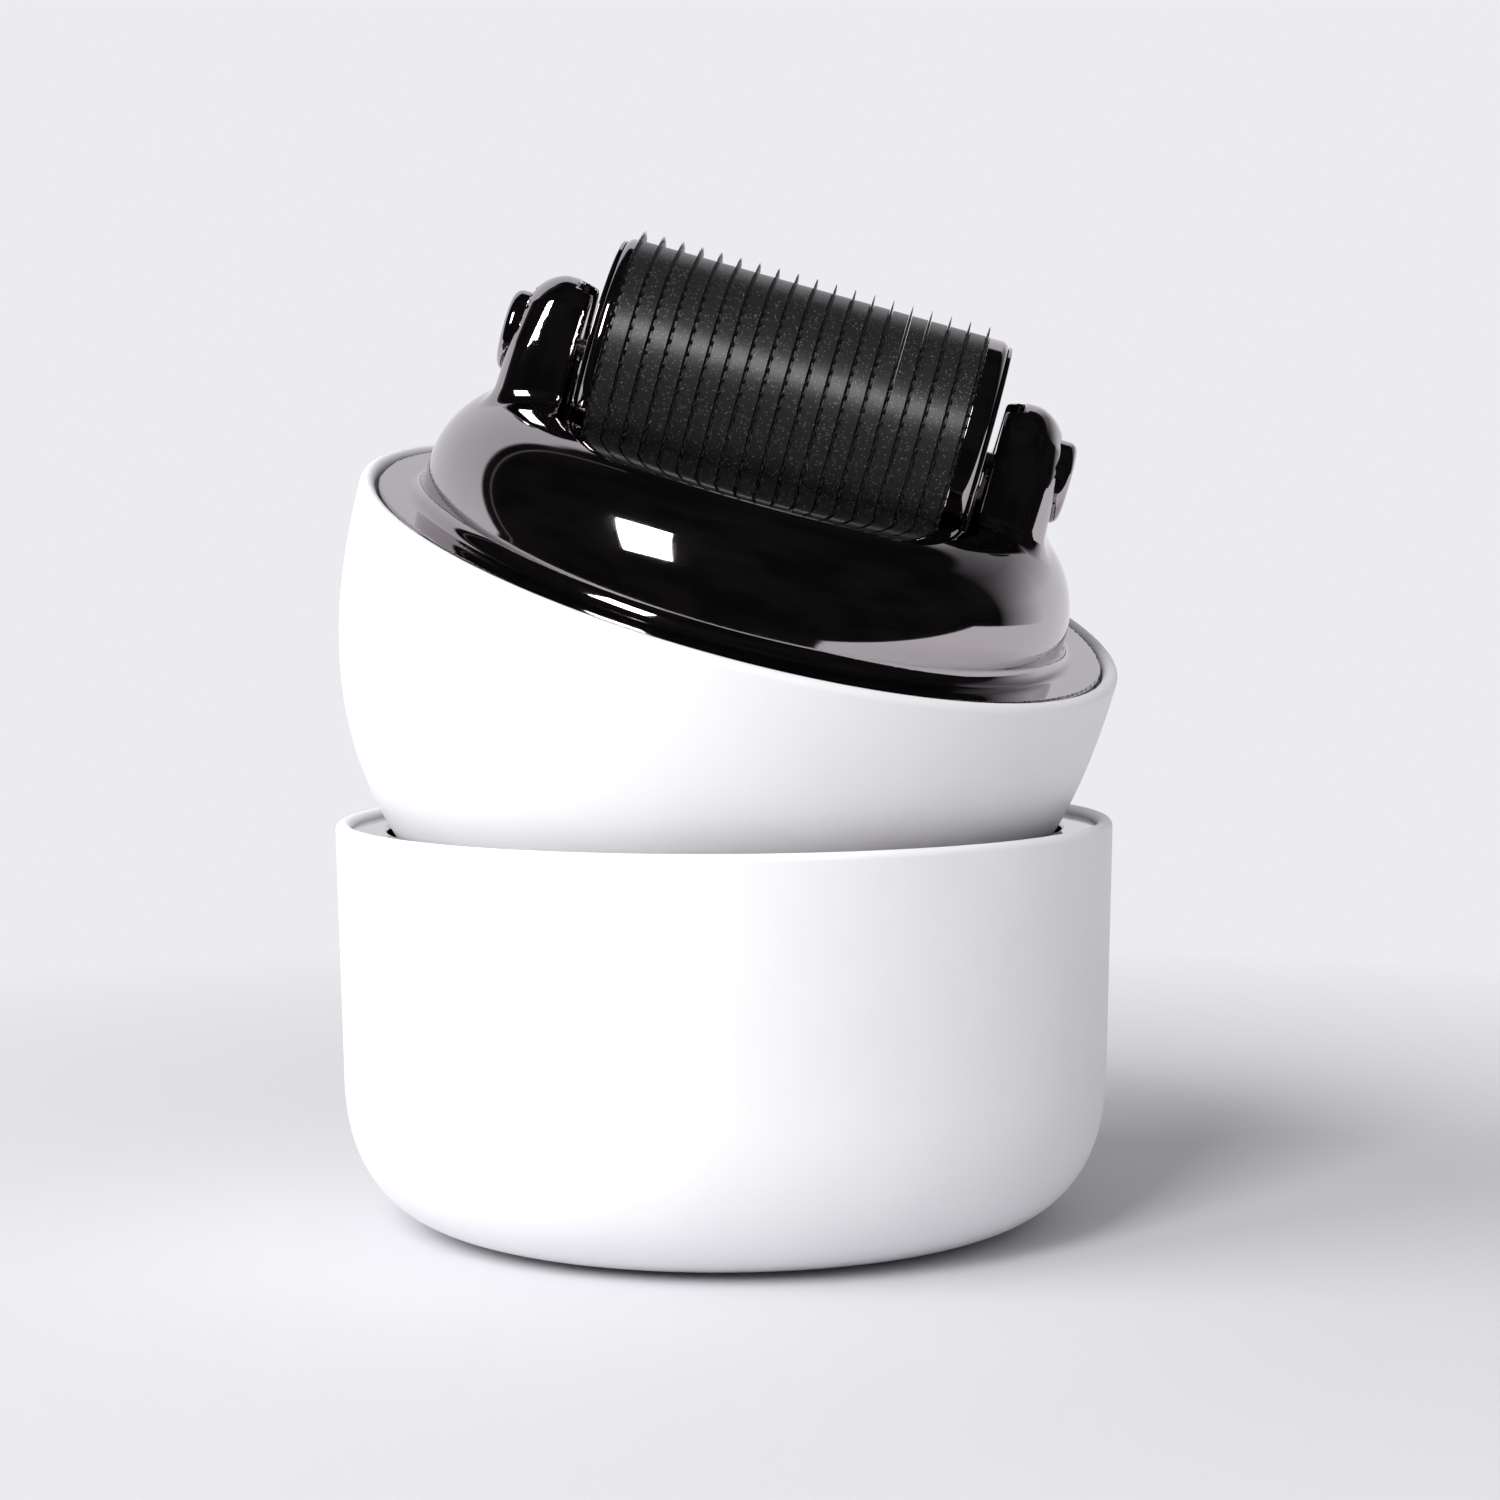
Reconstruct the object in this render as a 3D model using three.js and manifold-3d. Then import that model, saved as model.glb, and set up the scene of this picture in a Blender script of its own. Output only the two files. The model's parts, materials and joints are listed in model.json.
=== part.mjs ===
// Palm-held derma roller resting, drum up, in the mouth of its round storage case.
// Millimetres, +Z up. The case stands on z = 0 with its axis on Z.
import * as THREE from 'three';
import { mergeVertices } from 'three/addons/utils/BufferGeometryUtils.js';
import Module from 'manifold-3d';

const wasm = await Module();
wasm.setup();

// ---------- driving dimensions ----------

const gap = 0.3; // clearance kept between neighbouring pieces
const overcut = 1; // how far a cutting shape reaches past the surface it cuts

const storageCase = {
  radius: 39, // at the mouth
  height: 40.7,
  draft: 0.53, // the wall leans in by this much at its foot
  footWidth: 15.3, // rounding of the lower edge, inwards
  footHeight: 16.9, // and upwards
  footPower: 2.55,
  rimWall: 1.5,
  wall: 2.0,
  ledgeDepth: 2.3, // the liner's deck hangs on a ledge this far below the rim
  ledgeWidth: 1.1,
};

const liner = {
  deckTop: 39.9,
  deckThickness: 1.2,
  wellRadius: 33.85, // its mouth carries the tilted bowl
  lipRound: 0.5,
  wall: 1.2,
  floorHeight: 7,
  floorRound: 8,
};

const bowl = {
  radius: 39, // the handle's outer shape is a superellipse of revolution
  depth: 43.4,
  power: 2.397,
  wall: 2.1,
  innerRimRadius: 37.5,
  rimRound: 0.75,
  ledgeDepth: 1.75,
  ledgeRadius: 36.4,
};

const cover = {
  flangeTop: -0.25,
  flangeThickness: 1.2,
  flangeRadius: 37.2,
  coveRadius: 1.4, // concave corner between flange and dome
  baseRadius: 32.85,
  edgeRadius: 9.65, // big rounding of the dome's shoulder
  plateau: 11.85,
  shell: 1.8,
  skirtOuter: 36.0,
  skirtWall: 1.3,
  skirtDepth: 6,
  troughRadius: 13.4,
  troughWall: 1.6,
};

const arm = {
  innerFace: 20.9,
  outerFace: 27.6, // at the height of the drum's axis
  draftAngle: THREE.MathUtils.degToRad(3.2),
  baseHeight: 7, // seen from the side the arm is half an ellipse standing on this height
  baseHalfWidth: 8.2,
  rise: 17.6,
  top: 23.25, // where the ellipse is cut off
  shoulderRound: 3.5,
  slotWidth: 4.3,
  slotDepth: 1.7,
  seatThickness: 0.55, // raised seat on the inner face, under the drum's axis
  seatHalfWidth: 5.5,
};

const drum = {
  axisHeight: 16.6, // above the handle's rim plane
  stackShift: -0.36, // the rows sit a little towards the left end
  rows: 19,
  pitch: 1.952,
  needleTip: 12.83,
  discThickness: 0.25,
  stackClearance: 0.05,
  spacerRadius: 11.84,
  coreRadius: 5.0,
  hubBore: 1.3,
  leftEnd: 19.65,
  rightEnd: 19.9,
  capRound: 0.8,
  capLip: 0.35,
};

const axle = {
  radius: 1.05,
  halfLength: 22.25,
  bushStart: 21.2,
  bushLength: 1.2,
  bushRadius: 2.0,
  bushBore: 1.15,
};

const button = {
  radius: 4.1,
  outerFace: 28.92,
  capThickness: 1.07,
  edgeRound: 0.9,
  skirtWall: 0.4,
  skirtStart: 25.3,
  stemRadius: 2.7,
  stemBore: 2.2,
  stemStart: 21.5,
  keeperLength: 0.8, // the narrow part of the keyhole that holds the bush down
  keeperSlot: 2.5,
  windowLength: 1.5,
  pocketRadius: 4.4,
  pocketFloor: 23.5,
  stemHoleRadius: 3.0,
};

const spring = { coilRadius: 3.2, wireRadius: 0.22, turns: 3.5 };

// the roller leans to the right and towards the front, with its drum turned a little
const head = {
  rimCentre: new THREE.Vector3(2.04, -1.5, 66.07),
  leanRight: 0.2622,
  leanForward: 0.2098,
  drumTurn: -0.0975,
};

// how finely the round shapes are divided
const segments = { shell: 36, bowl: 9, foot: 6, drum: 20, small: 12, arc: 4 };

// ---------- materials ----------

const finish = (color, roughness, metalness) =>
  new THREE.MeshStandardMaterial({ color, roughness, metalness });

const whitePlastic = finish(0xf4f4f6, 0.35, 0);
const blackChrome = finish(0x3c383b, 0.12, 1);
const drumPlastic = finish(0x1d1e20, 0.45, 0);
const needleSteel = finish(0x8f9194, 0.3, 1);
const springSteel = finish(0xb9bbbf, 0.3, 1);
const bushPlastic = finish(0x2a2a2c, 0.5, 0);

// ---------- shape helpers ----------

// merges shared vertices and drops the slivers that collapse on the axis
function weld(geometry) {
  const bare = geometry.clone();
  bare.deleteAttribute('normal');
  bare.deleteAttribute('uv');
  const merged = mergeVertices(bare, 1e-5);
  const source = merged.index.array;
  const kept = [];
  for (let i = 0; i < source.length; i += 3) {
    const [a, b, c] = [source[i], source[i + 1], source[i + 2]];
    if (a !== b && b !== c && c !== a) kept.push(a, b, c);
  }
  merged.setIndex(kept);
  return merged;
}

function solid(geometry) {
  const welded = weld(geometry);
  return new wasm.Manifold(new wasm.Mesh({
    numProp: 3,
    vertProperties: new Float32Array(welded.attributes.position.array),
    triVerts: new Uint32Array(welded.index.array),
  }));
}

function geometryOf(manifold) {
  const mesh = manifold.getMesh();
  const geometry = new THREE.BufferGeometry();
  geometry.setAttribute('position', new THREE.BufferAttribute(mesh.vertProperties, 3));
  geometry.setIndex(new THREE.BufferAttribute(mesh.triVerts, 1));
  return geometry;
}

// turns an outline of [radius, height] points about Z
function revolve(outline, sides) {
  const points = outline.map(([radius, height]) => new THREE.Vector2(radius, height));
  return weld(new THREE.LatheGeometry(points, sides).rotateX(Math.PI / 2));
}

// turns an outline of [radius, x] points about X
const revolveX = (outline, sides) => revolve(outline, sides).rotateY(Math.PI / 2);

// a ring along X with a rectangular section
function ringX(innerRadius, outerRadius, from, to, sides) {
  return revolveX([
    [innerRadius, from], [outerRadius, from], [outerRadius, to], [innerRadius, to], [innerRadius, from],
  ], sides);
}

const cylinderX = (radius, from, to, sides) =>
  revolveX([[0, from], [radius, from], [radius, to], [0, to]], sides);

function box(x0, x1, y0, y1, z0, z1) {
  return new THREE.BoxGeometry(x1 - x0, y1 - y0, z1 - z0)
    .translate((x0 + x1) / 2, (y0 + y1) / 2, (z0 + z1) / 2);
}

function arcPoints(centreRadius, centreHeight, radius, fromAngle, toAngle, steps = segments.arc) {
  return Array.from({ length: steps + 1 }, (_, i) => {
    const angle = fromAngle + (toAngle - fromAngle) * (i / steps);
    return [centreRadius + radius * Math.cos(angle), centreHeight + radius * Math.sin(angle)];
  });
}

// a quarter of a superellipse, from straight down to straight out
function superQuarter(inset, base, width, height, power, steps) {
  return Array.from({ length: steps + 1 }, (_, i) => {
    const angle = (Math.PI / 2) * (i / steps);
    return [
      inset + width * Math.sin(angle) ** (2 / power),
      base - height * Math.cos(angle) ** (2 / power),
    ];
  });
}

function named(name, geometry, material) {
  const mesh = new THREE.Mesh(geometry, material);
  mesh.name = name;
  return mesh;
}

// ---------- storage case ----------

function caseShell() {
  const { radius, height, draft, footWidth, footHeight, footPower, rimWall, wall } = storageCase;
  const footTop = radius - draft;
  const flatRadius = footTop - footWidth;
  const ledge = height - storageCase.ledgeDepth;
  const innerMouth = radius - rimWall;
  const outside = superQuarter(flatRadius, footHeight, footWidth, footHeight, footPower, segments.foot);
  const inside = superQuarter(
    flatRadius, footHeight, footWidth - wall, footHeight - wall, footPower, segments.foot,
  ).reverse();
  const rimCentre = radius - rimWall / 2;
  return revolve([
    [0, 0],
    ...outside,
    ...arcPoints(rimCentre, height - rimWall / 2, rimWall / 2, 0, Math.PI),
    [innerMouth, ledge],
    [innerMouth - storageCase.ledgeWidth, ledge],
    ...inside,
    [0, wall],
  ], segments.shell);
}

function caseLiner() {
  const { deckTop, deckThickness, wellRadius, lipRound, wall, floorHeight, floorRound } = liner;
  const deckOuter = storageCase.radius - storageCase.rimWall - gap;
  const deckUnderside = deckTop - deckThickness;
  const roundCentre = floorHeight + floorRound;
  return revolve([
    [0, floorHeight - wall],
    ...arcPoints(wellRadius - floorRound, roundCentre, floorRound + wall, -Math.PI / 2, 0),
    [wellRadius + wall, deckUnderside],
    [deckOuter, deckUnderside],
    [deckOuter, deckTop],
    ...arcPoints(wellRadius + lipRound, deckTop - lipRound, lipRound, Math.PI / 2, Math.PI, 3),
    ...arcPoints(wellRadius - floorRound, roundCentre, floorRound, 0, -Math.PI / 2),
    [0, floorHeight],
  ], segments.shell);
}

// ---------- roller head ----------

function handleShell() {
  const { radius, depth, power, wall, innerRimRadius, rimRound, ledgeDepth, ledgeRadius } = bowl;
  const outside = superQuarter(0, -rimRound, radius, depth - rimRound, power, segments.bowl);
  const inside = superQuarter(
    0, -ledgeDepth, radius - wall, depth - wall - ledgeDepth, power, segments.bowl,
  ).reverse();
  return revolve([
    ...outside,
    ...arcPoints(radius - rimRound, -rimRound, rimRound, 0, Math.PI).slice(1),
    [innerRimRadius, -ledgeDepth],
    [ledgeRadius, -ledgeDepth],
    ...inside.slice(1),
  ], segments.shell);
}

// the dome's outer side, from the top of the cove up to the axis
function domeOutside(inset = 0) {
  const { baseRadius, edgeRadius, plateau } = cover;
  const edgeCentre = baseRadius - edgeRadius;
  return [
    ...arcPoints(edgeCentre, plateau - edgeRadius, edgeRadius - inset, 0, Math.PI / 2, 6),
    [0, plateau - inset],
  ];
}

function coverShell() {
  const { flangeTop, flangeThickness, flangeRadius, coveRadius, baseRadius, shell } = cover;
  const { skirtOuter, skirtWall, skirtDepth } = cover;
  const underside = flangeTop - flangeThickness;
  return solid(revolve([
    ...domeOutside(shell).reverse(),
    [baseRadius - shell, underside],
    [skirtOuter - skirtWall, underside],
    [skirtOuter - skirtWall, -skirtDepth],
    [skirtOuter, -skirtDepth],
    [skirtOuter, underside],
    [flangeRadius, underside],
    [flangeRadius, flangeTop],
    ...arcPoints(baseRadius + coveRadius, flangeTop + coveRadius, coveRadius, -Math.PI / 2, -Math.PI, 3),
    ...domeOutside(),
  ], segments.shell));
}

function rightArm() {
  const { innerFace, outerFace, draftAngle, baseHalfWidth, baseHeight, rise, top, shoulderRound } = arm;
  const { axisHeight } = drum;
  const foot = outerFace + (axisHeight - baseHeight) * Math.tan(draftAngle);
  const crown = outerFace - (top - axisHeight) * Math.tan(draftAngle);

  const side = new THREE.Shape()
    .absellipse(0, baseHeight, baseHalfWidth, rise, 0, Math.PI);
  const sideBlock = new THREE.ExtrudeGeometry(side, {
    depth: foot - innerFace, bevelEnabled: false, curveSegments: segments.small,
  });
  sideBlock.applyMatrix4(new THREE.Matrix4().makeBasis(
    new THREE.Vector3(0, 1, 0), new THREE.Vector3(0, 0, 1), new THREE.Vector3(1, 0, 0),
  )).translate(innerFace, 0, 0);

  const front = new THREE.Shape()
    .moveTo(innerFace, baseHeight)
    .lineTo(foot, baseHeight)
    .lineTo(crown, top - shoulderRound)
    .absarc(crown - shoulderRound, top - shoulderRound, shoulderRound, 0, Math.PI / 2)
    .lineTo(innerFace, top);
  const frontBlock = new THREE.ExtrudeGeometry(front, {
    depth: 2 * baseHalfWidth, bevelEnabled: false, curveSegments: segments.arc,
  });
  frontBlock.applyMatrix4(new THREE.Matrix4().makeBasis(
    new THREE.Vector3(1, 0, 0), new THREE.Vector3(0, 0, 1), new THREE.Vector3(0, -1, 0),
  )).translate(0, baseHalfWidth, 0);
  const seat = box(
    innerFace - arm.seatThickness, innerFace + arm.slotDepth,
    -arm.seatHalfWidth, arm.seatHalfWidth, baseHeight, axisHeight,
  );
  return solid(sideBlock).intersect(solid(frontBlock)).add(solid(seat));
}

// button pocket, stem hole and the slot the axle end drops into
function rightArmCuts() {
  const { innerFace, slotWidth, slotDepth } = arm;
  const { pocketRadius, pocketFloor, stemHoleRadius, outerFace } = button;
  const { axisHeight } = drum;
  const atAxis = (geometry) => geometry.translate(0, 0, axisHeight);
  const pocket = atAxis(cylinderX(pocketRadius, pocketFloor, outerFace, segments.drum));
  const stemHole = atAxis(cylinderX(
    stemHoleRadius, innerFace - overcut, pocketFloor + overcut, segments.drum,
  ));
  const slot = box(
    innerFace - overcut, innerFace + slotDepth, -slotWidth / 2, slotWidth / 2,
    axisHeight, arm.top + overcut,
  );
  return [pocket, stemHole, slot].map(solid);
}

function headCover() {
  const { flangeTop, troughRadius, troughWall } = cover;
  const { innerFace } = arm;
  const halfTurn = (manifold) => manifold.rotate([0, 0, 180]);
  const atAxis = (geometry) => geometry.translate(0, 0, drum.axisHeight);
  const dome = solid(revolve([[0, flangeTop], [cover.baseRadius, flangeTop], ...domeOutside()], segments.shell));
  const cradleEnd = innerFace + troughWall;
  const cradle = solid(atAxis(
    cylinderX(troughRadius + troughWall, -cradleEnd, cradleEnd, segments.shell),
  )).intersect(dome);
  const trough = solid(atAxis(cylinderX(troughRadius, -innerFace, innerFace, segments.shell)));
  const right = rightArm();
  let body = coverShell().add(cradle).subtract(trough).add(right).add(halfTurn(right));
  for (const cut of rightArmCuts()) body = body.subtract(cut).subtract(halfTurn(cut));
  return geometryOf(body);
}

// keyhole stem, skirt and cap in one moulding, for the right arm
function releaseButton() {
  const { radius, outerFace, capThickness, edgeRound, skirtWall, skirtStart } = button;
  const { stemRadius, stemBore, stemStart, keeperLength, keeperSlot, windowLength } = button;
  const capUnderside = outerFace - capThickness;
  const body = solid(revolveX([
    [0, capUnderside],
    [stemBore, capUnderside],
    [stemBore, stemStart],
    [stemRadius, stemStart],
    [stemRadius, capUnderside],
    [radius - skirtWall, capUnderside],
    [radius - skirtWall, skirtStart],
    [radius, skirtStart],
    ...arcPoints(radius - edgeRound, outerFace - edgeRound, edgeRound, 0, Math.PI / 2, 2),
    [0, outerFace],
  ], segments.drum));
  const windowStart = stemStart + keeperLength;
  const slot = box(stemStart - overcut, windowStart + gap, -keeperSlot / 2, keeperSlot / 2, 0, radius);
  const window = box(windowStart, windowStart + windowLength, -stemBore, stemBore, 0, stemRadius + gap);
  return geometryOf(body.subtract(solid(slot)).subtract(solid(window)));
}

class Coil extends THREE.Curve {
  constructor(radius, length, turns) {
    super();
    Object.assign(this, { radius, length, turns });
  }

  getPoint(t, target = new THREE.Vector3()) {
    const angle = 2 * Math.PI * this.turns * t;
    return target.set(this.length * t, this.radius * Math.cos(angle), this.radius * Math.sin(angle));
  }
}

function buttonSpring() {
  const { coilRadius, wireRadius, turns } = spring;
  const start = button.pocketFloor + gap + wireRadius;
  const end = button.outerFace - button.capThickness - gap - wireRadius;
  const wire = new THREE.Shape().absarc(0, 0, wireRadius, 0, 2 * Math.PI);
  return weld(new THREE.ExtrudeGeometry(wire, {
    extrudePath: new Coil(coilRadius, end - start, turns),
    steps: Math.round(turns * 10),
    curveSegments: 3,
    bevelEnabled: false,
  })).translate(start, 0, 0);
}

function endCap(shift, end) {
  const { rows, pitch, discThickness, stackClearance, spacerRadius, hubBore } = drum;
  const { capRound, capLip } = drum;
  const inner = ((rows - 1) * pitch + discThickness) / 2 + stackClearance + shift;
  const shoulder = end - capLip;
  return revolveX([
    [hubBore, inner],
    [spacerRadius, inner],
    ...arcPoints(spacerRadius - capRound, shoulder - capRound, capRound, 0, Math.PI / 2, 3),
    [spacerRadius - capRound / 2, shoulder],
    [spacerRadius - capRound / 2, end],
    [hubBore, end],
    [hubBore, inner],
  ], segments.drum);
}

function drumPieces() {
  const { rows, pitch, discThickness, stackClearance, spacerRadius, needleTip, coreRadius, hubBore } = drum;
  const group = new THREE.Group();
  const { stackShift } = drum;
  const halfStack = ((rows - 1) * pitch) / 2;
  const firstRow = stackShift - halfStack;
  const coreHalf = halfStack - gap;
  const bore = coreRadius + gap;
  const label = (index) => String(index + 1).padStart(2, '0');

  const core = ringX(hubBore, coreRadius, stackShift - coreHalf, stackShift + coreHalf, segments.small);
  group.add(named('drum_core', core, drumPlastic));
  group.add(named('right_end_cap', endCap(stackShift, drum.rightEnd), blackChrome));
  const leftCap = named('left_end_cap', endCap(-stackShift, drum.leftEnd), blackChrome);
  leftCap.rotation.z = Math.PI;
  group.add(leftCap);

  const disc = ringX(bore, needleTip, -discThickness / 2, discThickness / 2, segments.drum);
  const spacerHalf = (pitch - discThickness) / 2 - stackClearance;
  const spacer = ringX(bore, spacerRadius, -spacerHalf, spacerHalf, segments.drum);
  for (let i = 0; i < rows; i += 1) {
    const mesh = named(`needle_disc_${label(i)}`, disc, needleSteel);
    mesh.position.x = firstRow + i * pitch;
    group.add(mesh);
  }
  for (let i = 0; i < rows - 1; i += 1) {
    const mesh = named(`spacer_${label(i)}`, spacer, drumPlastic);
    mesh.position.x = firstRow + (i + 0.5) * pitch;
    group.add(mesh);
  }
  return group;
}

// what lies on the drum's axis: pin, bushes, buttons and their springs
function axisPieces() {
  const group = new THREE.Group();
  group.position.z = drum.axisHeight;
  group.add(drumPieces());
  const { radius, halfLength, bushStart, bushLength, bushRadius, bushBore } = axle;
  group.add(named('axle_pin', cylinderX(radius, -halfLength, halfLength, segments.small), springSteel));
  for (const [side, turn] of [['right', 0], ['left', Math.PI]]) {
    const end = new THREE.Group();
    end.rotation.z = turn;
    const bush = ringX(bushBore, bushRadius, bushStart, bushStart + bushLength, segments.small);
    end.add(named(`${side}_axle_bush`, bush, bushPlastic));
    end.add(named(`${side}_button_spring`, buttonSpring(), springSteel));
    end.add(named(`${side}_release_button`, releaseButton(), blackChrome));
    group.add(end);
  }
  return group;
}

// local Z is the bowl's axis, local X the drum's
function headFrame() {
  const { rimCentre, leanRight, leanForward, drumTurn } = head;
  const rightward = Math.sin(leanRight);
  const forward = Math.sin(leanForward);
  const up = new THREE.Vector3(
    rightward, -forward, Math.sqrt(1 - rightward * rightward - forward * forward),
  );
  const along = new THREE.Vector3(1, 0, 0).addScaledVector(up, -up.x).normalize()
    .applyAxisAngle(up, drumTurn);
  const across = up.clone().cross(along);
  return new THREE.Matrix4().makeBasis(along, across, up).setPosition(rimCentre);
}

function rollerHead() {
  const group = new THREE.Group();
  group.add(named('handle_shell', handleShell(), whitePlastic));
  group.add(named('head_cover', headCover(), blackChrome));
  group.add(axisPieces());
  group.applyMatrix4(headFrame());
  return group;
}

const model = new THREE.Group();
model.add(named('case_shell', caseShell(), whitePlastic));
model.add(named('case_liner', caseLiner(), blackChrome));
model.add(rollerHead());

export default model;
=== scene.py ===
"""Looks of a palm-held derma roller resting on its round storage case."""

import json
import math

import bpy
import numpy as np
from mathutils import Matrix, Vector


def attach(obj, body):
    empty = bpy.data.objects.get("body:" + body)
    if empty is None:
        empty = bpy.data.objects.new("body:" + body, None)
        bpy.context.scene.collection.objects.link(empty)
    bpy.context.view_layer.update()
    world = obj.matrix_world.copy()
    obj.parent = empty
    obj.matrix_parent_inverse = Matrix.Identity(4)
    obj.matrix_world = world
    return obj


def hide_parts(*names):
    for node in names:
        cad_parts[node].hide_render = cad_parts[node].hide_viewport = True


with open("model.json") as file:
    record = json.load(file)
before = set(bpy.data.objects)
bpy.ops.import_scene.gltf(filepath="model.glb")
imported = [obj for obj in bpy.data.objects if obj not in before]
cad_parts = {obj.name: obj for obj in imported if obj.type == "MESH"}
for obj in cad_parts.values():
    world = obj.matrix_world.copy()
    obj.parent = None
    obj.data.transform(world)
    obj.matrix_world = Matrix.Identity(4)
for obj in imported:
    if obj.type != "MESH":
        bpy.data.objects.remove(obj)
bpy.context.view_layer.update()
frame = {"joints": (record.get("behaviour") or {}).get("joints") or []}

MM = 0.001  # outlines are drawn in millimetres, Blender works in metres
ON_AXIS = 1e-9  # a radius below this is a point on the axis
NEAR_ZERO = 1e-6

# ---------- driving dimensions, in millimetres ----------

CASE_RADIUS = 39.0
CASE_HEIGHT = 40.7
CASE_DRAFT = 0.53
FOOT_WIDTH, FOOT_HEIGHT, FOOT_POWER = 15.3, 16.9, 2.55
RIM_WALL = 1.5
CASE_WALL = 2.0
CASE_LEDGE_DEPTH, CASE_LEDGE_WIDTH = 2.3, 1.1

DECK_TOP, DECK_THICKNESS = 39.9, 1.2
WELL_RADIUS, WELL_FLOOR, WELL_ROUND = 33.85, 7.0, 8.0
LINER_WALL = 1.2

BOWL_RADIUS, BOWL_DEPTH, BOWL_POWER = 39.0, 43.4, 2.397
BOWL_WALL = 2.1
BOWL_LEDGE_DEPTH, BOWL_LEDGE_RADIUS = 1.75, 36.4

DOME_RADIUS, DOME_EDGE, DOME_TOP = 32.85, 9.65, 11.85
FLANGE_RADIUS, FLANGE_TOP, FLANGE_THICKNESS = 37.2, -0.25, 1.2
FLANGE_EDGE = 0.2
COVE = 1.4
COVER_SHELL = 1.8
SKIRT_OUTER, SKIRT_WALL, SKIRT_DEPTH = 36.0, 1.3, 6.0
SKIRT_OVERLAP = 0.3  # the skirt reaches this far into the flange
TROUGH_RADIUS, TROUGH_WALL, TROUGH_EDGE = 13.4, 1.6, 0.35

ARM_INNER, ARM_OUTER = 20.9, 27.6
ARM_DRAFT = math.radians(3.2)
ARM_FOOT, ARM_RISE, ARM_HALF_WIDTH = 7.0, 17.6, 8.2  # seen from the side the arm is part of an ellipse
ARM_TOP, CROWN_RADIUS = 23.25, 7.0
ARM_SHOULDER, CROWN_SHOULDER_GAIN = 2.2, 1.3  # rounding at the axis, and what it gains up to the top
ARM_OVERLAP = 0.6  # the arm starts this far inside the trough, which trims it
ARM_BARREL, BARREL_SHIFT = 10.0, 0.6  # radius of the bulge in front and back, and its shift inwards
ARM_FILLET = 1.3
SEAT_THICKNESS, SEAT_HALF_WIDTH, SEAT_FILLET = 0.55, 5.5, 0.3
SLOT_WIDTH, SLOT_DEPTH, SLOT_EDGE = 4.3, 1.7, 0.2
POCKET_RADIUS, POCKET_FLOOR, POCKET_EDGE = 4.4, 23.5, 0.25
STEM_HOLE, STEM_OVERCUT = 3.0, 1

AXIS_HEIGHT = 16.6
ROWS, PITCH = 19, 1.952
DISC_THICKNESS, STACK_CLEARANCE = 0.25, 0.05
NEEDLES, NEEDLE_TIP, NEEDLE_BASE, NEEDLE_WIDTH = 60, 12.83, 11.45, 0.42
NEEDLE_WAIST = 0.42  # share of the width that is left halfway up a needle
MIDDLE_THICKNESS, TIP_THICKNESS = 0.62, 0.1  # shares of the disc's thickness
DISC_STAGGER = 0.618  # each disc is turned on by this share of the needles' spacing
SPACER_RADIUS, SPACER_EDGE = 11.84, 0.07
CORE_RADIUS, HUB_BORE = 5.0, 1.3
STACK_SHIFT = -0.36  # the rows sit a little towards the left end
LEFT_END, RIGHT_END = 19.65, 19.9
CAP_ROUND, CAP_LIP = 0.8, 0.35

AXLE_RADIUS, AXLE_HALF = 1.05, 22.25
BUSH_START, BUSH_LENGTH, BUSH_RADIUS, BUSH_BORE = 21.2, 1.2, 2.0, 1.15

BUTTON_RADIUS, BUTTON_FACE, BUTTON_CAP, BUTTON_ROUND = 4.1, 28.92, 1.07, 0.9
BUTTON_DOME = 0.15
SKIRT_START, BUTTON_SKIRT = 25.3, 0.4
STEM_RADIUS, STEM_BORE, STEM_START = 2.7, 2.2, 21.5
KEEPER_LENGTH, KEEPER_SLOT, WINDOW_LENGTH = 0.8, 2.5, 1.5
COIL_RADIUS, WIRE_RADIUS, COIL_TURNS = 3.2, 0.22, 3.5
GAP = 0.3

LEAN_RIGHT, LEAN_FORWARD, DRUM_TURN = 0.2622, 0.2098, -0.0975  # in radians

# ---------- how finely round shapes are divided ----------

SHELL_SIDES, CAP_SIDES, RING_SIDES, CORE_SIDES, PIN_SIDES = 224, 128, 96, 64, 48
COIL_STEPS, WIRE_SIDES = 36, 10  # steps in one turn of the coil, and sides of its wire
NEEDLE_CREASE, WIRE_CREASE = math.radians(35), math.radians(50)


# ---------- the roller head's own axes ----------

def head_axes():
    """Local X runs along the drum, local Z along the bowl; the origin is the rim's centre."""
    right, forward = math.sin(LEAN_RIGHT), math.sin(LEAN_FORWARD)
    up = Vector((right, -forward, math.sqrt(1 - right * right - forward * forward)))
    flat = (Vector((1, 0, 0)) - up * up.x).normalized()
    along = Matrix.Rotation(DRUM_TURN, 3, up) @ flat
    across = up.cross(along)
    spin = next(j for j in frame["joints"] if j["name"] == "drum_spin")
    origin = Vector(spin["pos_m"]) - up * (AXIS_HEIGHT * MM)
    matrix = Matrix((along, across, up)).transposed().to_4x4()
    matrix.translation = origin
    return matrix


HEAD = head_axes() @ Matrix.Scale(MM, 4)
WORLD = Matrix.Scale(MM, 4)
TO_AXIS = Matrix.Translation((0, 0, AXIS_HEIGHT))
Z_ALONG_X = Matrix.Rotation(math.pi / 2, 4, "Y")
AXLE = HEAD @ TO_AXIS @ Z_ALONG_X
LEFT_AXLE = HEAD @ TO_AXIS @ Matrix.Rotation(math.pi, 4, "Z") @ Z_ALONG_X


# ---------- meshes from arrays ----------

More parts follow.
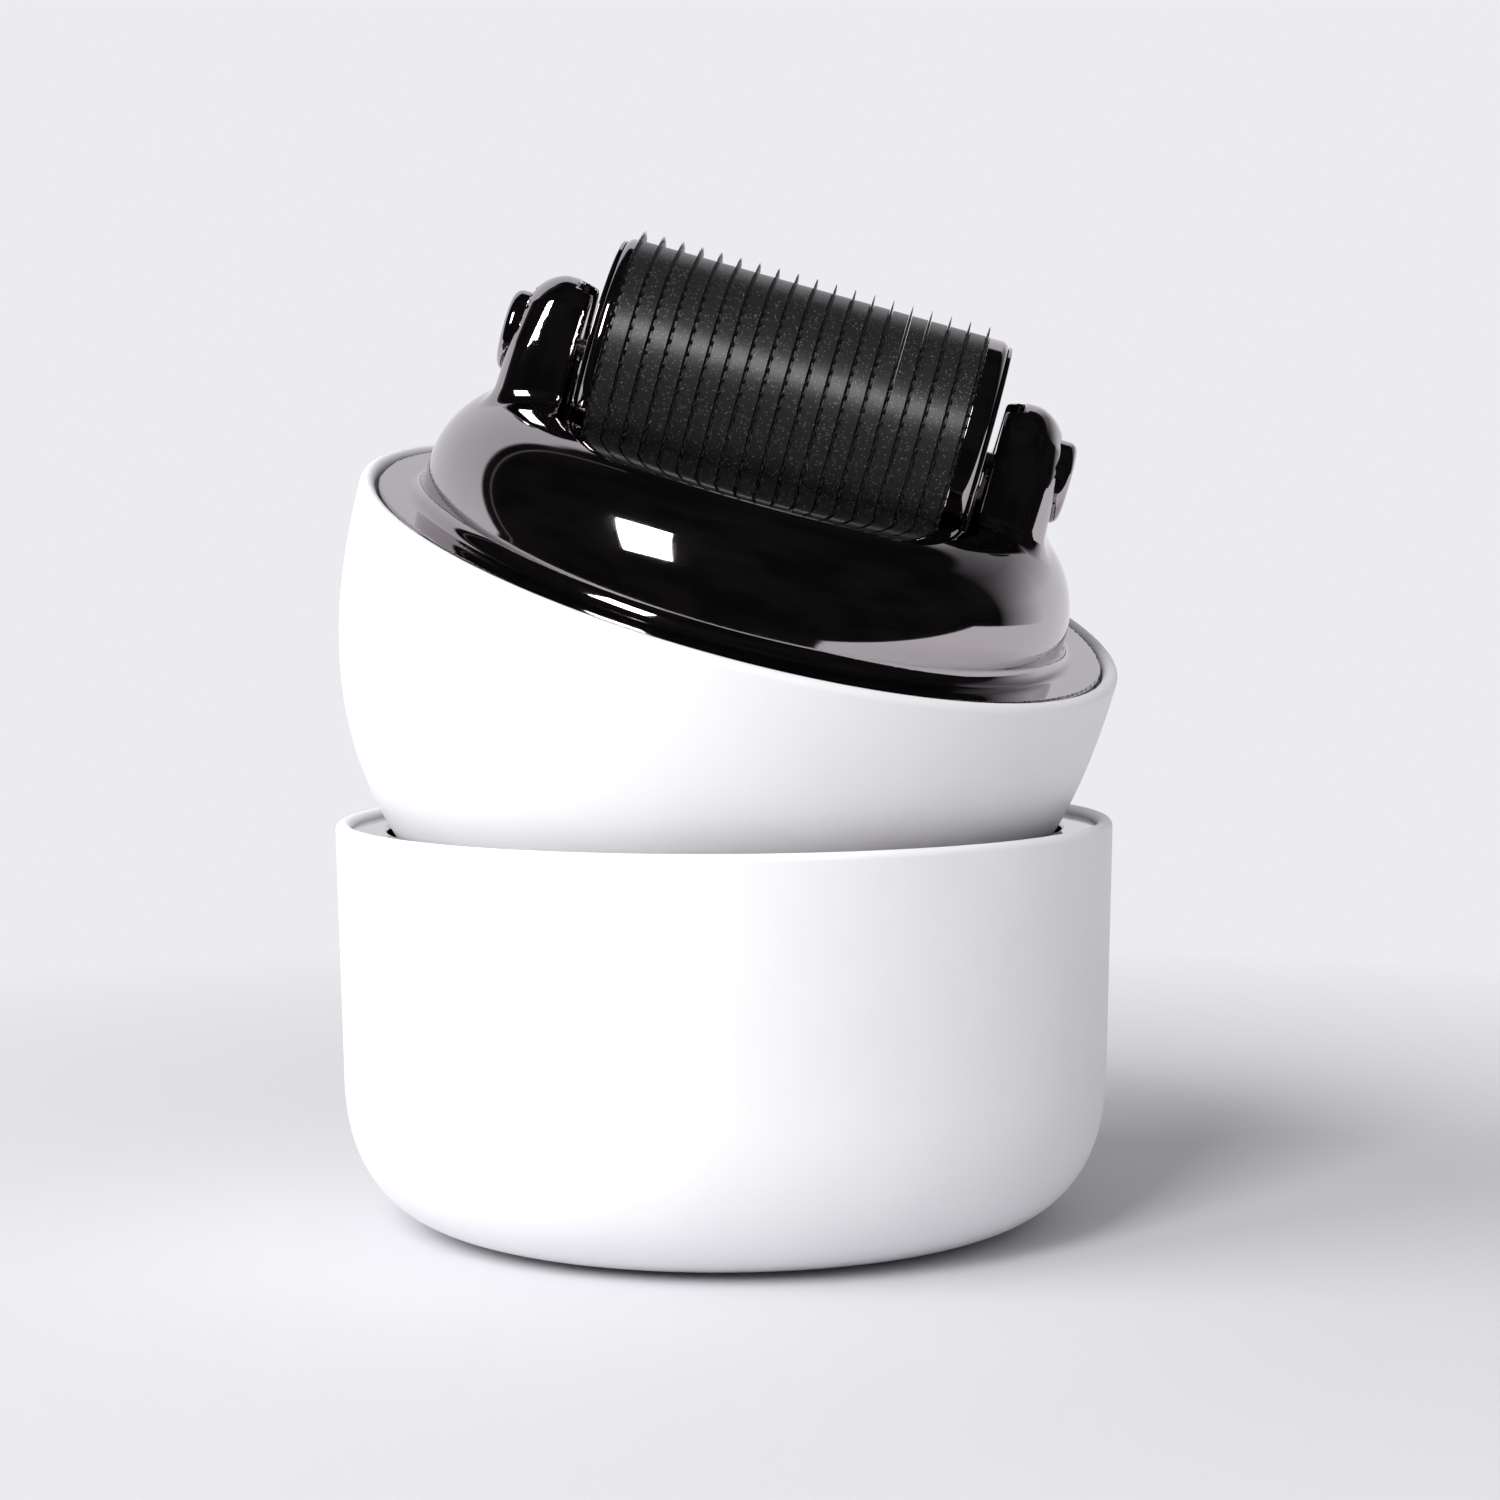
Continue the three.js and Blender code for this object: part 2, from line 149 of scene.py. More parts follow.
def make_piece(name, points, faces, place, normals=None, corner_normals=None):
    """Adds a mesh object. Points are local millimetres; place takes them to Blender's metres."""
    rotation = np.array(place.to_3x3()) / MM
    world = np.asarray(points) @ np.array(place.to_3x3()).T + np.array(place.translation)
    mesh = bpy.data.meshes.new(name)
    mesh.from_pydata(world.tolist(), [], faces)
    mesh.polygons.foreach_set("use_smooth", [True] * len(mesh.polygons))
    mesh.update()
    if normals is not None:
        mesh.normals_split_custom_set_from_vertices((normals @ rotation.T).tolist())
    if corner_normals is not None:
        mesh.normals_split_custom_set((corner_normals @ rotation.T).tolist())
    piece = bpy.data.objects.new(name, mesh)
    bpy.context.scene.collection.objects.link(piece)
    return piece


class Outline:
    """A closed outline of [radius, height], walked with the solid on its left."""

    def __init__(self, radius, height):
        self.points = [(radius, height)]
        self.ends = []  # for each stretch, the surface normal at its start and at its end

    def line(self, radius, height):
        (r, h) = self.points[-1]
        length = math.hypot(radius - r, height - h)
        normal = ((height - h) / length, (r - radius) / length)
        self.points.append((radius, height))
        self.ends.append((normal, normal))
        return self

    def arc(self, centre_radius, centre_height, radius, start, end, steps=8):
        outward = 1 if end > start else -1
        angles = [math.radians(start + (end - start) * i / steps) for i in range(steps + 1)]
        spots = [(centre_radius + radius * math.cos(a), centre_height + radius * math.sin(a)) for a in angles]
        ways = [(outward * math.cos(a), outward * math.sin(a)) for a in angles]
        if math.dist(self.points[-1], spots[0]) > NEAR_ZERO:
            self.line(*spots[0])
        for i in range(steps):
            self.points.append(spots[i + 1])
            self.ends.append((ways[i], ways[i + 1]))
        return self

    def curve(self, spots):
        """A smooth stretch through a list of spots."""
        if math.dist(self.points[-1], spots[0]) > NEAR_ZERO:
            self.line(*spots[0])
        tangents = np.gradient(np.array(spots), axis=0)
        ways = np.stack([tangents[:, 1], -tangents[:, 0]], 1)
        ways /= np.linalg.norm(ways, axis=1)[:, None]
        for i in range(len(spots) - 1):
            self.points.append(tuple(spots[i + 1]))
            self.ends.append((tuple(ways[i]), tuple(ways[i + 1])))
        return self


def super_quarter(inset, base, width, height, power, steps=40):
    """A quarter of a superellipse, from the lowest point out to the widest."""
    angles = np.linspace(0, math.pi / 2, steps + 1)
    across = inset + width * np.sin(angles) ** (2 / power)
    down = base - height * np.cos(angles) ** (2 / power)
    return list(zip(across.tolist(), down.tolist()))


def lathe(name, outline, sides, place):
    """Turns an outline about local Z, with exact normals so that mirror finishes stay clean."""
    runs = [i for i in range(len(outline.ends))
            if outline.points[i][0] > ON_AXIS or outline.points[i + 1][0] > ON_AXIS]
    radii, heights = np.array(outline.points).T
    angles = np.arange(sides) * (2 * math.pi / sides)
    ring = np.stack([np.cos(angles), np.sin(angles)], 1)
    rows = []
    verts = []
    for r, h in zip(radii, heights):
        if r < ON_AXIS:
            rows.append(np.full(sides, len(verts)))
            verts.append((0.0, 0.0, h))
        else:
            rows.append(len(verts) + np.arange(sides))
            verts.extend(np.column_stack([r * ring, np.full(sides, h)]).tolist())
    faces, normals = [], []
    for i in runs:
        (start, end) = outline.ends[i]
        for k in range(sides):
            n = (k + 1) % sides
            corners = [(rows[i][k], start, k), (rows[i][n], start, n),
                       (rows[i + 1][n], end, n), (rows[i + 1][k], end, k)]
            if rows[i][k] == rows[i][n]:
                corners = [corners[0], corners[2], corners[3]]
            elif rows[i + 1][k] == rows[i + 1][n]:
                corners = corners[:3]
            faces.append([int(c[0]) for c in corners])
            normals += [(way[0] * ring[m][0], way[0] * ring[m][1], way[1]) for _, way, m in corners]
    points, faces = merge_loop(np.array(verts), faces)
    return make_piece(name, points, faces, place, corner_normals=np.array(normals))


def merge_loop(verts, faces):
    """Joins the first and last rings of a closed outline, which lie on each other."""
    keys = {}
    target = [keys.setdefault(tuple(np.round(v, 6)), i) for i, v in enumerate(verts)]
    used = sorted(set(target))
    renumber = {old: new for new, old in enumerate(used)}
    return verts[used], [[renumber[target[i]] for i in face] for face in faces]


# ---------- materials ----------

def new_material(name):
    material = bpy.data.materials.new(name)
    material.use_nodes = True
    tree = material.node_tree
    shader = tree.nodes["Principled BSDF"]
    place = tree.nodes.new("ShaderNodeTexCoord")
    return material, tree, shader, place.outputs["Object"]


def add_noise(tree, coordinates, size_mm, detail=3.0, roughness=0.55):
    """Noise whose features are about size_mm across."""
    noise = tree.nodes.new("ShaderNodeTexNoise")
    noise.inputs["Scale"].default_value = 1 / (size_mm * MM)
    noise.inputs["Detail"].default_value = detail
    noise.inputs["Roughness"].default_value = roughness
    tree.links.new(coordinates, noise.inputs["Vector"])
    return noise.outputs["Fac"]


def add_range(tree, value, low, high, start=0.3, end=0.7):
    """Maps the value from start..end to low..high."""
    node = tree.nodes.new("ShaderNodeMapRange")
    node.inputs["From Min"].default_value = start
    node.inputs["From Max"].default_value = end
    node.inputs["To Min"].default_value = low
    node.inputs["To Max"].default_value = high
    tree.links.new(value, node.inputs["Value"])
    return node.outputs["Result"]


def add_bump(tree, shader, height, depth_mm, strength=1.0):
    bump = tree.nodes.new("ShaderNodeBump")
    bump.inputs["Distance"].default_value = depth_mm * MM
    bump.inputs["Strength"].default_value = strength
    tree.links.new(height, bump.inputs["Height"])
    tree.links.new(bump.outputs["Normal"], shader.inputs["Normal"])


def add_tint(tree, shader, factor, first, second):
    mix = tree.nodes.new("ShaderNodeMix")
    mix.data_type = "RGBA"
    mix.inputs["A"].default_value = (*first, 1)
    mix.inputs["B"].default_value = (*second, 1)
    tree.links.new(factor, mix.inputs["Factor"])
    tree.links.new(mix.outputs["Result"], shader.inputs["Base Color"])


def white_plastic():
    """Satin white moulding with a barely visible grain."""
    material, tree, shader, spot = new_material("white_plastic")
    cloud = add_noise(tree, spot, size_mm=9.0, detail=2.0)
    add_tint(tree, shader, add_range(tree, cloud, 0, 1), (0.865, 0.865, 0.885), (0.885, 0.885, 0.9))
    grain = add_noise(tree, spot, size_mm=0.25, detail=4.0)
    tree.links.new(add_range(tree, grain, low=0.42, high=0.5), shader.inputs["Roughness"])
    add_bump(tree, shader, grain, depth_mm=0.004, strength=0.5)
    shader.inputs["Specular IOR Level"].default_value = 0.35
    return material


def black_chrome():
    """Dark mirror plating on a moulding: a faint ripple and uneven smudging."""
    material, tree, shader, spot = new_material("black_chrome")
    shader.inputs["Metallic"].default_value = 1.0
    cloud = add_noise(tree, spot, size_mm=6.0, detail=3.0)
    add_tint(tree, shader, add_range(tree, cloud, 0, 1), (0.47, 0.432, 0.452), (0.455, 0.42, 0.44))
    smudge = add_noise(tree, spot, size_mm=3.0, detail=5.0, roughness=0.65)
    tree.links.new(add_range(tree, smudge, low=0.03, high=0.07), shader.inputs["Roughness"])
    ripple = add_noise(tree, spot, size_mm=1.2, detail=2.0)
    add_bump(tree, shader, ripple, depth_mm=0.0012, strength=0.35)
    return material


def spacer_plastic():
    """Satin black plastic with fine bright flecks painted into its colour: painted glints that stand in for
    the plastic's sparkle.
    """
    material, tree, shader, spot = new_material("drum_plastic")
    flecks = tree.nodes.new("ShaderNodeTexVoronoi")
    fleck_spacing = 0.3
    flecks.inputs["Scale"].default_value = 1 / (fleck_spacing * MM)
    tree.links.new(spot, flecks.inputs["Vector"])
    # painted glints: bright flecks in the base colour where the plastic would sparkle
    painted_glints = add_range(tree, flecks.outputs["Distance"], low=1, high=0, start=0.1, end=0.24)
    add_tint(tree, shader, painted_glints, (0.014, 0.014, 0.0145), (0.18, 0.18, 0.185))
    grain = add_noise(tree, spot, size_mm=0.12, detail=4.0)
    tree.links.new(add_range(tree, grain, low=0.26, high=0.36), shader.inputs["Roughness"])
    add_bump(tree, shader, grain, depth_mm=0.002, strength=0.4)
    return material


def metal(name, colour, roughness, grain_mm):
    material, tree, shader, spot = new_material(name)
    shader.inputs["Metallic"].default_value = 1.0
    cloud = add_noise(tree, spot, size_mm=2.0, detail=3.0)
    shade = 0.86
    darker = tuple(shade * c for c in colour)
    add_tint(tree, shader, add_range(tree, cloud, 0, 1), darker, colour)
    grain = add_noise(tree, spot, grain_mm, detail=4.0)
    tree.links.new(add_range(tree, grain, roughness - 0.06, roughness + 0.08), shader.inputs["Roughness"])
    add_bump(tree, shader, grain, depth_mm=0.003, strength=0.5)
    return material


def bush_plastic():
    material, tree, shader, spot = new_material("bush_plastic")
    grain = add_noise(tree, spot, size_mm=0.2, detail=4.0)
    add_tint(tree, shader, add_range(tree, grain, 0, 1), (0.03, 0.03, 0.031), (0.055, 0.055, 0.057))
    tree.links.new(add_range(tree, grain, low=0.45, high=0.6), shader.inputs["Roughness"])
    add_bump(tree, shader, grain, depth_mm=0.006, strength=0.6)
    return material


MATERIALS = {
    "white_plastic": white_plastic(),
    "black_chrome": black_chrome(),
    "drum_plastic": spacer_plastic(),
    "needle_steel": metal("needle_steel", (0.34, 0.335, 0.33), roughness=0.34, grain_mm=0.1),
    "spring_steel": metal("spring_steel", (0.62, 0.61, 0.6), roughness=0.28, grain_mm=0.15),
    "bush_plastic": bush_plastic(),
}


def finish_piece(piece, node, body, slot):
    """Gives a piece its finish and its body, and hides the CAD node it stands for."""
    piece.data.materials.append(MATERIALS[slot])
    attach(piece, body)
    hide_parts(node)


# ---------- storage case ----------

def case_shell():
    flat = CASE_RADIUS - CASE_DRAFT - FOOT_WIDTH
    rim = RIM_WALL / 2
    inner_mouth = CASE_RADIUS - RIM_WALL
    ledge = CASE_HEIGHT - CASE_LEDGE_DEPTH
    outside = super_quarter(flat, FOOT_HEIGHT, FOOT_WIDTH, FOOT_HEIGHT, FOOT_POWER)
    inside = super_quarter(flat, FOOT_HEIGHT, FOOT_WIDTH - CASE_WALL, FOOT_HEIGHT - CASE_WALL, FOOT_POWER)
    outline = Outline(0, 0).curve([(flat * i / 4, 0) for i in range(4)] + outside)
    outline.line(CASE_RADIUS, CASE_HEIGHT - rim)
    outline.arc(CASE_RADIUS - rim, CASE_HEIGHT - rim, rim, 0, 180, 12)
    outline.line(inner_mouth, ledge).line(inner_mouth - CASE_LEDGE_WIDTH, ledge)
    outline.curve(inside[::-1]).line(0, CASE_WALL)
    return lathe("case_shell_moulding", outline, SHELL_SIDES, WORLD)


def case_liner():
    lip = 0.5
    edge = 0.15
    deck_outer = CASE_RADIUS - RIM_WALL - GAP / 3
    underside = DECK_TOP - DECK_THICKNESS
    turn = WELL_FLOOR + WELL_ROUND
    outline = Outline(0, WELL_FLOOR - LINER_WALL)
    outline.arc(WELL_RADIUS - WELL_ROUND, turn, WELL_ROUND + LINER_WALL, -90, 0, 16)
    outline.line(WELL_RADIUS + LINER_WALL, underside).line(deck_outer, underside)
    outline.arc(deck_outer - edge, DECK_TOP - edge, edge, 0, 90, 4)
    outline.arc(WELL_RADIUS + lip, DECK_TOP - lip, lip, 90, 180, 8)
    outline.arc(WELL_RADIUS - WELL_ROUND, turn, WELL_ROUND, 0, -90, 16)
    outline.line(0, WELL_FLOOR)
    return lathe("case_liner_plated", outline, SHELL_SIDES, WORLD)


# ---------- roller head ----------

def handle_shell():
    rim = 0.75
    outside = super_quarter(0, -rim, BOWL_RADIUS, BOWL_DEPTH - rim, BOWL_POWER, steps=60)
    inside = super_quarter(0, -BOWL_LEDGE_DEPTH, BOWL_RADIUS - BOWL_WALL,
                           BOWL_DEPTH - BOWL_WALL - BOWL_LEDGE_DEPTH, BOWL_POWER)
    inner_rim = BOWL_RADIUS - 2 * rim
    outline = Outline(*outside[0]).curve(outside)
    outline.arc(BOWL_RADIUS - rim, -rim, rim, 0, 180, 12)
    outline.line(inner_rim, -BOWL_LEDGE_DEPTH).line(BOWL_LEDGE_RADIUS, -BOWL_LEDGE_DEPTH)
    outline.curve(inside[:-1][::-1])
    return lathe("handle_shell_moulding", outline, SHELL_SIDES, HEAD)


def round_union(a, b, radius):
    """Joins two solids' distance fields with a fillet."""
    return np.maximum(radius, np.minimum(a, b)) \
        - np.hypot(np.maximum(radius - a, 0), np.maximum(radius - b, 0))


def round_overlap(a, b, radius):
    """Keeps what two solids share, with a rounded edge."""
    return np.minimum(-radius, np.maximum(a, b)) \
        + np.hypot(np.maximum(a + radius, 0), np.maximum(b + radius, 0))


def dome_field(r, z, inset=0.0):
    across, above = r - (DOME_RADIUS - DOME_EDGE), z - (DOME_TOP - DOME_EDGE)
    outside = np.hypot(np.maximum(across, 0), np.maximum(above, 0))
    return outside + np.minimum(np.maximum(across, above), 0) - (DOME_EDGE - inset)


def arm_field(x, y, z):
    across, up = y / ARM_HALF_WIDTH, (z - ARM_FOOT) / ARM_RISE
    reach = np.hypot(across, up)
    slope = np.hypot(across / ARM_HALF_WIDTH, up / ARM_RISE)
    bulge = (x - (ARM_INNER + ARM_OUTER) / 2 + BARREL_SHIFT) ** 2 / (2 * ARM_BARREL)
    sides = reach * (reach - 1) / np.maximum(slope, NEAR_ZERO)
    crown = np.hypot(y, np.maximum(z - ARM_TOP + CROWN_RADIUS, 0)) - CROWN_RADIUS
    profile = np.maximum(sides, np.where(z > ARM_TOP - CROWN_RADIUS, crown, sides)) + bulge
    outer = (x - ARM_OUTER) * math.cos(ARM_DRAFT) + (z - AXIS_HEIGHT) * math.sin(ARM_DRAFT)
    shoulder = ARM_SHOULDER + CROWN_SHOULDER_GAIN * np.clip((z - AXIS_HEIGHT) / (ARM_TOP - AXIS_HEIGHT), 0, 1)
    inner = ARM_INNER - ARM_OVERLAP - x
    return np.maximum(round_overlap(profile, outer, shoulder), np.maximum(inner, ARM_FOOT - z))


def cover_field(x, y, z):
    """Signed distance to the head cover in the head's axes, in millimetres."""
    x = np.abs(x)
    r = np.hypot(x, y)
    from_axis = np.hypot(y, z - AXIS_HEIGHT)
    dome = dome_field(r, z)
    underside = FLANGE_TOP - FLANGE_THICKNESS
    flange = round_overlap(r - FLANGE_RADIUS, np.abs(z - FLANGE_TOP + FLANGE_THICKNESS / 2)
                           - FLANGE_THICKNESS / 2, FLANGE_EDGE)
    outside = round_union(np.maximum(dome, underside - z), flange, COVE)
    shell = np.maximum(outside, -dome_field(r, z, COVER_SHELL))
    cradle = np.maximum(np.maximum(from_axis - TROUGH_RADIUS - TROUGH_WALL, x - ARM_INNER - TROUGH_WALL),
                        dome + COVER_SHELL / 2)
    skirt = np.maximum(np.abs(r - SKIRT_OUTER + SKIRT_WALL / 2) - SKIRT_WALL / 2,
                       np.maximum(-SKIRT_DEPTH - z, z - underside - SKIRT_OVERLAP))
    body = np.minimum(np.minimum(shell, cradle), skirt)
    body = round_union(body, arm_field(x, y, z), ARM_FILLET)
    trough = np.maximum(from_axis - TROUGH_RADIUS, x - ARM_INNER)
    body = round_overlap(body, -trough, TROUGH_EDGE)
    seat = np.maximum(np.maximum(np.abs(y) - SEAT_HALF_WIDTH, np.abs(x - ARM_INNER) - SEAT_THICKNESS),
                      np.maximum(z - AXIS_HEIGHT, ARM_FOOT - z))
    body = round_union(body, seat, SEAT_FILLET)
    slot = np.maximum(np.maximum(np.abs(y) - SLOT_WIDTH / 2, x - ARM_INNER - SLOT_DEPTH), AXIS_HEIGHT - z)
    body = round_overlap(body, -slot, SLOT_EDGE)
    pocket = np.maximum(from_axis - POCKET_RADIUS, POCKET_FLOOR - x)
    body = round_overlap(body, -pocket, POCKET_EDGE)
    return np.maximum(body, -np.maximum(from_axis - STEM_HOLE, ARM_INNER - STEM_OVERCUT - x))


def surface_of(field, low, high, step):
    """Meshes where the field is zero: one point in each grid cell that it crosses."""
    axes = [np.arange(a, b + step, step, dtype=np.float32) for a, b in zip(low, high)]
    values = field(*np.meshgrid(*axes, indexing="ij", sparse=True))
    inside = values < 0
    shape = np.array(values.shape)
    spots, cells, quads = [], [], []
    for axis in range(3):
        first, second = [slice(None)] * 3, [slice(None)] * 3
        first[axis], second[axis] = slice(None, -1), slice(1, None)
        first, second = tuple(first), tuple(second)
        edges = np.argwhere(inside[first] != inside[second])
        picked = tuple(edges.T)
        a, b = values[first][picked], values[second][picked]
        starts_inside = inside[first][picked]
        spot = edges.astype(float)
        spot[:, axis] += a / (a - b)
        u, v = (axis + 1) % 3, (axis + 2) % 3
        corners = []
        for du, dv in ((0, 0), (-1, 0), (-1, -1), (0, -1)):
            cell = edges.copy()
            cell[:, u] += du
            cell[:, v] += dv
            corners.append(np.ravel_multi_index(cell.T, shape))
            spots.append(spot)
            cells.append(corners[-1])
        quad = np.stack(corners, 1)
        quad[~starts_inside] = quad[~starts_inside][:, ::-1]
        quads.append(quad)
    owners, index = np.unique(np.concatenate(cells), return_inverse=True)
    spots = np.concatenate(spots)
    count = np.bincount(index)
    points = np.stack([np.bincount(index, spots[:, k]) / count for k in range(3)], 1)
    points = points * step + np.array(low)
    faces = np.searchsorted(owners, np.concatenate(quads))
    return points, faces


def slope_of(field, points, reach=0.01):
    """The field's gradient, measured between two spots a little apart."""
    slopes = []
    for axis in range(3):
        shift = np.zeros(3)
        shift[axis] = reach
        slopes.append((field(*(points + shift).T) - field(*(points - shift).T)) / (2 * reach))
    return np.stack(slopes, 1)


def head_cover():
    """Flange, dome, trough and arms in one moulding. Its grid points are pulled onto the surface."""
    step = 0.47
    passes, flattest = 6, 0.2
    reach = FLANGE_RADIUS + 2 * step
    points, faces = surface_of(cover_field, (-reach, -reach, -SKIRT_DEPTH - 2 * step),
                               (reach, reach, ARM_TOP + 2 * step), step)
    for _ in range(passes):
        slope = slope_of(cover_field, points)
        size = np.maximum((slope ** 2).sum(1), flattest)
        move = -(cover_field(*points.T) / size)[:, None] * slope
        points = points + np.clip(move, -step / 3, step / 3)
    slope = slope_of(cover_field, points)
    normals = slope / np.maximum(np.linalg.norm(slope, axis=1), NEAR_ZERO)[:, None]
    return make_piece("head_cover_plated", points, faces.tolist(), HEAD, normals=normals)


# ---------- drum ----------

def end_cap(name, place, shift, end):
    inner = ((ROWS - 1) * PITCH + DISC_THICKNESS) / 2 + STACK_CLEARANCE + shift
    shoulder = end - CAP_LIP
    lip_radius = SPACER_RADIUS - CAP_ROUND / 2
    corner, edge, lip_margin = 0.1, 0.12, 0.2
    recess_mouth, recess_root, recess_floor = HUB_BORE + 1.9, HUB_BORE + 1.6, end - 0.25
    outline = Outline(HUB_BORE, inner).line(SPACER_RADIUS - corner, inner)
    outline.arc(SPACER_RADIUS - corner, inner + corner, corner, -90, 0, 3)
    outline.arc(SPACER_RADIUS - CAP_ROUND, shoulder - CAP_ROUND, CAP_ROUND, 0, 80, 10)
    outline.line(lip_radius - lip_margin, shoulder).line(lip_radius, shoulder)
    outline.arc(lip_radius - edge, end - edge, edge, 0, 90, 4)
    outline.line(recess_mouth, end).line(recess_root, recess_floor)
    outline.line(HUB_BORE, recess_floor).line(HUB_BORE, inner)
    return lathe(name, outline, CAP_SIDES, place)


def spacer(name, place):
    half = (PITCH - DISC_THICKNESS) / 2 - STACK_CLEARANCE
    bore = CORE_RADIUS + GAP
    outline = Outline(bore, -half).line(SPACER_RADIUS - SPACER_EDGE, -half)
    outline.arc(SPACER_RADIUS - SPACER_EDGE, SPACER_EDGE - half, SPACER_EDGE, -90, 0, 3)
    outline.arc(SPACER_RADIUS - SPACER_EDGE, half - SPACER_EDGE, SPACER_EDGE, 0, 90, 3)
    outline.line(bore, half).line(bore, -half)
    return lathe(name, outline, RING_SIDES, place)


def needle_disc(name, place):
    """A thin ring with pointed blades that thin out towards their tips."""
    half = DISC_THICKNESS / 2
    bore = CORE_RADIUS + GAP
    step = 2 * math.pi / NEEDLES
    spread = NEEDLE_WIDTH / 2 / NEEDLE_BASE
    middle_radius = (NEEDLE_BASE + NEEDLE_TIP) / 2
    waist = spread * NEEDLE_WAIST
    stations = [(-spread, NEEDLE_BASE, 1), (-waist, middle_radius, MIDDLE_THICKNESS),
                (0, NEEDLE_TIP, TIP_THICKNESS), (waist, middle_radius, MIDDLE_THICKNESS),
                (spread, NEEDLE_BASE, 1), (step / 2, NEEDLE_BASE, 1)]
    points, faces = [], []  # each station has four points: rim and hub, on both sides of the disc
    for needle in range(NEEDLES):
        for offset, radius, share in stations:
            angle = needle * step + offset
            spot = (radius * math.cos(angle), radius * math.sin(angle))
            hub = (bore * math.cos(angle), bore * math.sin(angle))
            points += [(*spot, half * share), (*spot, -half * share), (*hub, half), (*hub, -half)]
    total = NEEDLES * len(stations)
    for i in range(total):
        n = (i + 1) % total
        a, b = 4 * i, 4 * n
        faces.append([a + 1, b + 1, b, a])
        faces.append([a + 2, b + 2, b + 3, a + 3])
    count = len(stations)
    for needle in range(NEEDLES):
        base = [4 * ((needle * count + k) % total) for k in range(count + 1)]
        for side, flip in ((0, False), (1, True)):
            fan = [base[k] + side for k in range(5)]
            hub = [base[k] + 2 + side for k in range(5)]
            rounds = [fan, [hub[0], fan[0], fan[4], hub[4]],
                      [hub[4], fan[4], base[5] + side, base[5] + 2 + side],
                      [base[5] + 2 + side, base[5] + side, base[6] + side, base[6] + 2 + side]]
            faces += [face[::-1] if flip else face for face in rounds]
    piece = make_piece(name, np.array(points), faces, place)
    piece.data.set_sharp_from_angle(angle=NEEDLE_CREASE)
    return piece


def drum_core():
    half = (ROWS - 1) * PITCH / 2 - GAP
    edge = 0.2
    outline = Outline(HUB_BORE, -half).line(CORE_RADIUS - edge, -half)
    outline.arc(CORE_RADIUS - edge, edge - half, edge, -90, 0, 3)
    outline.arc(CORE_RADIUS - edge, half - edge, edge, 0, 90, 3)
    outline.line(HUB_BORE, half).line(HUB_BORE, -half)
    return lathe("drum_core_tube", outline, CORE_SIDES, AXLE @ Matrix.Translation((0, 0, STACK_SHIFT)))


def axle_pin():
    tip = 0.25
    outline = Outline(0, -AXLE_HALF).line(AXLE_RADIUS - tip, -AXLE_HALF)
    outline.arc(AXLE_RADIUS - tip, tip - AXLE_HALF, tip, -90, 0, 4)
    outline.arc(AXLE_RADIUS - tip, AXLE_HALF - tip, tip, 0, 90, 4)
    outline.line(0, AXLE_HALF)
    return lathe("axle_pin_ground", outline, PIN_SIDES, AXLE)


def axle_bush(name, place):
    end = BUSH_START + BUSH_LENGTH
    edge = 0.15
    outline = Outline(BUSH_BORE, BUSH_START).line(BUSH_RADIUS - edge, BUSH_START)
    outline.arc(BUSH_RADIUS - edge, BUSH_START + edge, edge, -90, 0, 3)
    outline.arc(BUSH_RADIUS - edge, end - edge, edge, 0, 90, 3)
    outline.line(BUSH_BORE, end).line(BUSH_BORE, BUSH_START)
    return lathe(name, outline, PIN_SIDES, place)


# ---------- release buttons ----------

def cut_box(piece, place, low, high):
    """Cuts a box, given in local millimetres, out of a piece."""
    (x0, y0, z0), (x1, y1, z1) = low, high
    corners = [(x, y, z) for x in (x0, x1) for y in (y0, y1) for z in (z0, z1)]
    sides = [[0, 1, 3, 2], [4, 6, 7, 5], [0, 4, 5, 1], [2, 3, 7, 6], [0, 2, 6, 4], [1, 5, 7, 3]]
    cutter = make_piece("cutter", np.array(corners, float), sides, place)
    cut = piece.modifiers.new("cut", "BOOLEAN")
    cut.operation = "DIFFERENCE"
    cut.object = cutter
    bpy.context.view_layer.update()
    done = bpy.data.meshes.new_from_object(piece.evaluated_get(bpy.context.evaluated_depsgraph_get()))
    piece.modifiers.clear()
    piece.data = done
    bpy.data.objects.remove(cutter)


def release_button(name, place):
    """Cap, skirt and keyhole stem. Local Z runs outwards along the axle, local -X is up."""
    under = BUTTON_FACE - BUTTON_CAP
    edge = 0.1
    outline = Outline(0, under).line(STEM_BORE, under).line(STEM_BORE, STEM_START)
    outline.line(STEM_RADIUS - edge, STEM_START)
    outline.arc(STEM_RADIUS - edge, STEM_START + edge, edge, -90, 0, 3)
    outline.line(STEM_RADIUS, under).line(BUTTON_RADIUS - BUTTON_SKIRT, under)
    outline.line(BUTTON_RADIUS - BUTTON_SKIRT, SKIRT_START).line(BUTTON_RADIUS - edge, SKIRT_START)
    outline.arc(BUTTON_RADIUS - edge, SKIRT_START + edge, edge, -90, 0, 3)
    round_centre = BUTTON_FACE - BUTTON_DOME - BUTTON_ROUND
    outline.arc(BUTTON_RADIUS - BUTTON_ROUND, round_centre, BUTTON_ROUND, 0, 84, 10)
    rim_radius, rim_height = outline.points[-1]
    outline.curve([(rim_radius * (1 - t), BUTTON_FACE - (BUTTON_FACE - rim_height) * (1 - t) ** 2)
                   for t in (0, 0.2, 0.4, 0.6, 0.8, 1)])
    piece = lathe(name, outline, RING_SIDES, place)
    window = STEM_START + KEEPER_LENGTH
    above, beyond_end, into_window = -STEM_RADIUS - 0.2, STEM_START - 1, window + 0.1
    cut_box(piece, place, (above, -KEEPER_SLOT / 2, beyond_end), (0, KEEPER_SLOT / 2, into_window))
    cut_box(piece, place, (above, -STEM_BORE, window), (0, STEM_BORE, window + WINDOW_LENGTH))
    return piece


